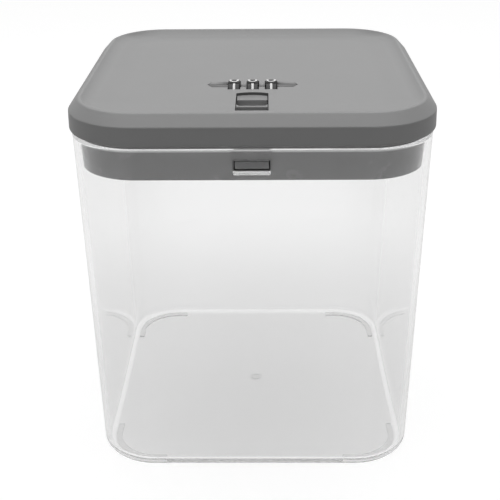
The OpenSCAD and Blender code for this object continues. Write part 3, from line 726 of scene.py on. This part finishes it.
recess = closed_outline([
    (-half_width, ledge, ledge_round), (half_width, ledge, ledge_round),
    (brow, rim + past_rim, 0), (-brow, rim + past_rim, 0)])
hole = closed_outline([
    (-half_width, ledge, ledge_round), (half_width, ledge, ledge_round),
    (half_width, hole_top, hole_round), (-half_width, hole_top, hole_round)])
cuts = [
    (recess, [(outside, lip), *((y, lip * share) for y, share in lip_curve), (recess_back, 0)]),
    (hole, [(outside, 0), (wall_face, 0), (hole_back, 0)]),
]
for turn in (0, 180):
    spin = Matrix.Rotation(math.radians(turn), 3, "Z")
    for shape, stations in cuts:
        rings = [[spin @ Vector(p) for p in latch_ring(shape, y, flare)] for y, flare in stations]
        combine(tub, prism("latch_cut", rings), "DIFFERENCE")
print("tub with feet and openings:", len(tub.data.polygons), "faces")

# %% [markdown]
# ## Moulded and metal pieces
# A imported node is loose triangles, which shade as flat facets. A copy with its doubles merged can be shaded
# smooth up to a sharp edge, and weighted normals keep the large flats flat. The copy then stands for the
# node. The tub casts no shadow: light goes through a clear wall, but a render without caustics would draw its
# shadow black.

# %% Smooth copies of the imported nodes
tub_sharp, node_sharp, still_flat = math.radians(35), math.radians(28), math.radians(0.4)
packed_same_point = 2e-6
flat_weight = 100
slot_of = {row["node"]: row["material_slot"] for row in frame["record"]["subparts"]}


def even_shading(piece, sharp):
    piece.data.shade_smooth()
    piece.data.set_sharp_from_angle(angle=sharp)
    even = piece.modifiers.new("even_flats", "WEIGHTED_NORMAL")
    even.keep_sharp = True
    even.weight = flat_weight
    return as_plain_mesh(piece)


def smooth_copy(node):
    """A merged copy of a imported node, smooth up to the sharp edges, with flats that stay flat."""
    work = bmesh.new()
    work.from_mesh(nodes[node].data)
    bmesh.ops.remove_doubles(work, verts=work.verts, dist=packed_same_point)
    bmesh.ops.dissolve_limit(work, angle_limit=still_flat, verts=work.verts, edges=work.edges)
    piece = piece_from(node + "_finished", [], [], [])
    work.to_mesh(piece.data)
    work.free()
    piece.data.materials.clear()
    piece.data.materials.append(finishes[slot_of[node]])
    return even_shading(piece, node_sharp)


def stand_for(piece, node):
    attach(piece, body_named[nodes[node].parent])
    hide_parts(node)
    return piece


finished = {"container": stand_for(even_shading(tub, tub_sharp), "container")}
tub.visible_shadow = False
for node in nodes:
    if node not in finished:
        finished[node] = stand_for(smooth_copy(node), node)
print("finished pieces:", len(finished), "faces:", sum(len(p.data.polygons) for p in finished.values()))

# %% [markdown]
# ## Digits
# Each dial carries the digits 0 to 9 in white print, one on every facet, with 0 on top when the code is set
# to zeros. A text object gives the shape of a digit. Its mesh is cut into strips and bent to the dial's curve
# once, and Geometry Nodes place the ten of them round each dial.

# %% Bent digits
digit_count = 10
digit_height, digit_wide, digit_thin = 0.0054, 1.5, 0.002
digit_back = math.radians(3)
print_lift = 0.00003
print_radius = dial_radius + print_lift
strips, curve_steps = 11, 6


def bent_digit(character):
    curve = bpy.data.curves.new("digit", "FONT")
    curve.body = character
    curve.resolution_u = curve_steps
    curve.offset = -digit_thin
    text = bpy.data.objects.new("digit", curve)
    scene.collection.objects.link(text)
    graph = bpy.context.evaluated_depsgraph_get()
    mesh = bpy.data.meshes.new_from_object(text.evaluated_get(graph))
    bpy.data.objects.remove(text)
    work = bmesh.new()
    work.from_mesh(mesh)
    low = Vector((min(v.co.x for v in work.verts), min(v.co.y for v in work.verts)))
    high = Vector((max(v.co.x for v in work.verts), max(v.co.y for v in work.verts)))
    middle, tall = (low + high) / 2, high.y - low.y
    for step in range(-(strips // 2), strips // 2 + 1):
        bmesh.ops.bisect_plane(work, geom=work.verts[:] + work.edges[:] + work.faces[:],
                               plane_co=(0, middle.y + step * tall / strips, 0), plane_no=(0, 1, 0))
    size = digit_height / tall
    for v in work.verts:
        across = (v.co.x - middle.x) * size * digit_wide
        angle = (v.co.y - middle.y) * size / print_radius + digit_back
        v.co = (across, print_radius * math.sin(angle), print_radius * math.cos(angle))
    bmesh.ops.recalc_face_normals(work, faces=work.faces)
    for face in work.faces:
        if face.normal.z < 0:
            face.normal_flip()
    work.to_mesh(mesh)
    work.free()
    mesh.shade_smooth()
    return bpy.data.objects.new("digit_" + character, mesh)


digit_set = bpy.data.collections.new("digit_set")
scene.collection.children.link(digit_set)
for digit in range(digit_count):
    digit_set.objects.link(bent_digit(str(digit)))


# %% Ten digits round each dial
def digit_tree():
    tree = bpy.data.node_groups.new("digits_round_a_dial", "GeometryNodeTree")
    socket = tree.interface.new_socket
    socket("Base", in_out="INPUT", socket_type="NodeSocketGeometry")
    socket("Digits", in_out="INPUT", socket_type="NodeSocketCollection")
    socket("Count", in_out="INPUT", socket_type="NodeSocketInt")
    socket("Dial Middle", in_out="INPUT", socket_type="NodeSocketVector")
    socket("Finish", in_out="INPUT", socket_type="NodeSocketMaterial")
    socket("Print", in_out="OUTPUT", socket_type="NodeSocketGeometry")
    given, made = add(tree, "NodeGroupInput").outputs, add(tree, "NodeGroupOutput").inputs
    spots = add(tree, "GeometryNodePoints")
    shapes = add(tree, "GeometryNodeCollectionInfo")
    shapes.inputs["Separate Children"].default_value = True
    shapes.inputs["Reset Children"].default_value = True
    number = add(tree, "GeometryNodeInputIndex")
    step = add(tree, "ShaderNodeMath", operation="DIVIDE")
    step.inputs[0].default_value = math.tau
    turn = add(tree, "ShaderNodeMath", operation="MULTIPLY")
    about = add(tree, "ShaderNodeCombineXYZ")
    spin = add(tree, "FunctionNodeEulerToRotation")
    place = add(tree, "GeometryNodeInstanceOnPoints")
    place.inputs["Pick Instance"].default_value = True
    real = add(tree, "GeometryNodeRealizeInstances")
    paint = add(tree, "GeometryNodeSetMaterial")
    for start, end in [
        (given["Count"], spots.inputs["Count"]), (given["Dial Middle"], spots.inputs["Position"]),
        (given["Digits"], shapes.inputs["Collection"]), (given["Count"], step.inputs[1]),
        (number.outputs[0], turn.inputs[0]), (step.outputs[0], turn.inputs[1]),
        (turn.outputs[0], about.inputs["X"]), (about.outputs[0], spin.inputs[0]),
        (spots.outputs[0], place.inputs["Points"]), (shapes.outputs[0], place.inputs["Instance"]),
        (number.outputs[0], place.inputs["Instance Index"]), (spin.outputs[0], place.inputs["Rotation"]),
        (place.outputs[0], real.inputs[0]), (real.outputs[0], paint.inputs["Geometry"]),
        (given["Finish"], paint.inputs["Material"]), (paint.outputs[0], made[0]),
    ]:
        tree.links.new(start, end)
    return tree


round_dial = digit_tree()
for dial in ("dial_left", "dial_middle", "dial_right"):
    low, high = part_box(dial)
    piece = with_inputs(piece_from("digits_" + dial, [], [], []), round_dial, Digits=digit_set,
                        Count=digit_count, Dial_Middle=(low + high) / 2, Finish=ink)
    as_plain_mesh(piece)
    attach(piece, dial)
    print(piece.name, len(piece.data.polygons), "faces")
for shape in list(digit_set.objects):
    bpy.data.objects.remove(shape)
bpy.data.collections.remove(digit_set)
